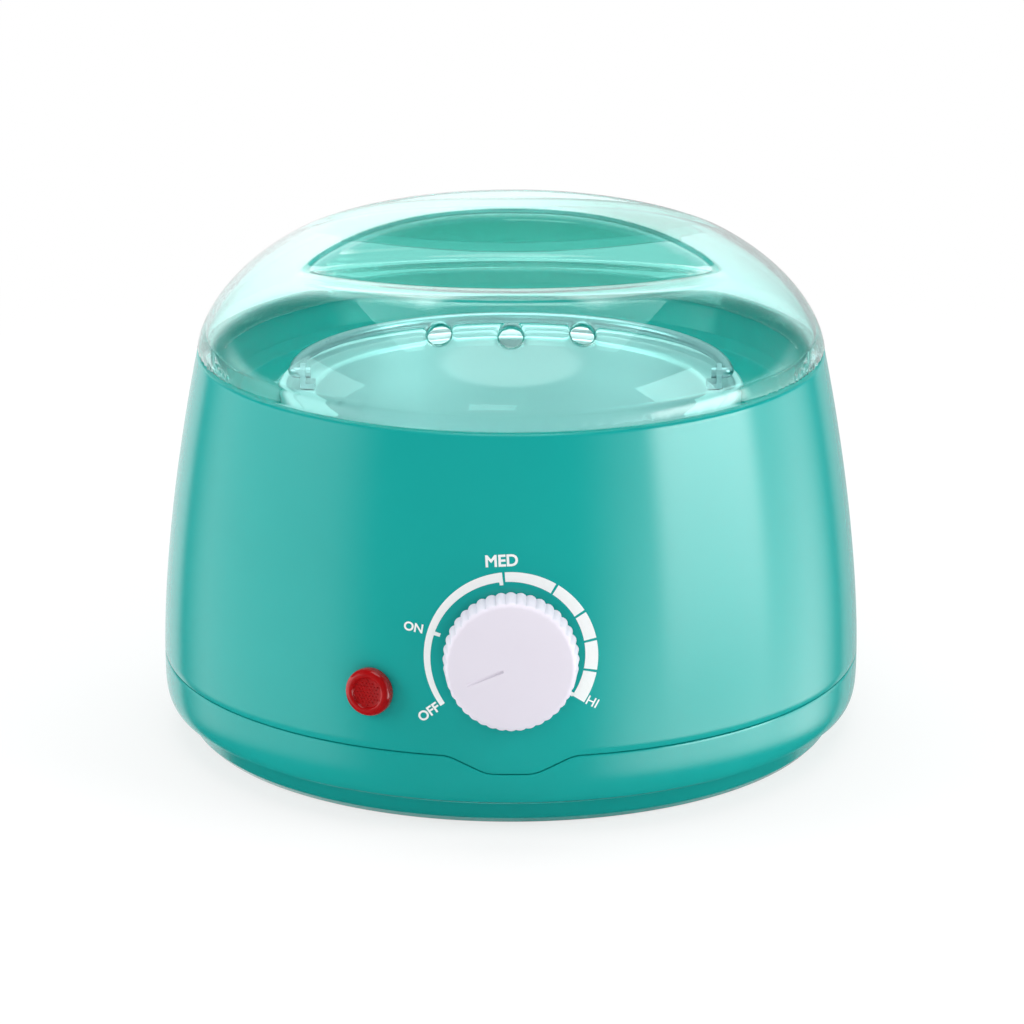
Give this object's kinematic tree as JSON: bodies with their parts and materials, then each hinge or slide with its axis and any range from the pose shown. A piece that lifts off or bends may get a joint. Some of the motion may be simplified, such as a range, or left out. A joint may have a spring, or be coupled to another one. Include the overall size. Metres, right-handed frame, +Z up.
{
  "type": "wax warmer",
  "caption": "Round electric wax warmer: teal housing on a base, clear domed lid with a grip bar, lift-out pot with a bail, dial knob and a red lamp.",
  "frame": {"origin": "on the body's axis, on the surface that the rubber feet stand on; the knob in front and the cable gland behind reach equally far, so it is also the bottom centre of the box to within a millimetre", "axes": "+Z up along the body's axis, -Y towards the front with the dial and the lamp, +Y towards the cable gland, +X to the right as seen from the front"},
  "size_m": [0.185, 0.2048, 0.141],
  "materials": {
    "teal_shell": "gloss moulded ABS, teal",
    "clear_lid": "clear moulded plastic with a teal tint, gloss",
    "aluminium": "spun, satin",
    "steel": "zinc plated",
    "brass": "satin",
    "mica": "mica laminate, matt",
    "ceramic": "steatite, matt",
    "fuse_sleeve": "glass fibre sleeve",
    "white_knob": "satin moulded plastic, cool white",
    "red_lens": "gloss translucent plastic",
    "bulb_glass": "clear glass",
    "resistor": "lacquer",
    "rubber": "matt",
    "black_plastic": "fine matt",
    "brown_wire": "silicone insulation",
    "blue_wire": "silicone insulation",
    "white_wire": "silicone insulation"
  },
  "bodies": {
    "root": {"upper_housing": "teal_shell", "base_shell": "teal_shell", "heating_well": "aluminium", "heater_band": "mica", "heater_strap": "steel", "strap_screw": "steel", "strap_nut": "steel", "heater_tab_right": "brass", "heater_tab_left": "brass", "thermal_fuse": "fuse_sleeve", "fuse_clip": "steel", "fuse_screw": "steel", "cord_gland": "black_plastic", "gland_nut": "black_plastic", "terminal_block": "ceramic", "block_screw": "steel", "clamp_screw_1": "brass", "clamp_screw_2": "brass", "clamp_screw_3": "brass", "clamp_screw_4": "brass", "wire_live": "brown_wire", "wire_switched": "brown_wire", "wire_neutral": "blue_wire", "wire_fused": "blue_wire", "wire_lamp_switched": "white_wire", "wire_lamp_neutral": "white_wire", "rubber_foot_1": "rubber", "rubber_foot_2": "rubber", "rubber_foot_3": "rubber", "rubber_foot_4": "rubber", "base_screw_1": "steel", "base_screw_2": "steel", "base_screw_3": "steel", "base_screw_4": "steel", "well_screw_1": "steel", "well_screw_2": "steel", "well_screw_3": "steel", "well_screw_4": "steel", "thermostat_bush": "brass", "thermostat_nut": "brass", "thermostat_bracket": "steel", "thermostat_body": "ceramic", "bimetal_strip": "brass", "contact_strip": "brass", "terminal_right": "brass", "terminal_left": "brass", "bracket_screw_left": "steel", "bracket_screw_right": "steel", "indicator_lens": "red_lens", "lamp_clip": "steel", "neon_bulb": "bulb_glass", "lamp_resistor": "resistor"},
    "lid": {"lid": "clear_lid"},
    "pot": {"pot": "aluminium", "bail_ear_right": "steel", "bail_ear_left": "steel"},
    "bail": {"bail": "steel"},
    "knob": {"knob": "white_knob", "knob_clip": "steel", "thermostat_shaft": "brass"}
  },
  "joints": [
    {"name": "knob_turn", "type": "hinge", "parent": "root", "child": "knob", "pos_m": [0, -0.09104, 0.0467], "axis": [0, 0.9955, -0.0948], "range_deg": [-14, 235]},
    {"name": "lid_lift", "type": "slide", "parent": "root", "child": "lid", "axis": [0, 0, 1], "range_m": [0, 0.2]},
    {"name": "pot_lift", "type": "slide", "parent": "root", "child": "pot", "axis": [0, 0, 1], "range_m": [0, 0.12]},
    {"name": "bail_swing", "type": "hinge", "parent": "pot", "child": "bail", "pos_m": [0, 0, 0.0949], "axis": [1, 0, 0], "range_deg": [0, 90]}
  ],
  "couplings": [
    {"joint": "pot_lift", "follows": "lid_lift", "ratio": 0.6},
    {"joint": "bail_swing", "follows": "lid_lift", "rad_per_m": 7.85}
  ]
}
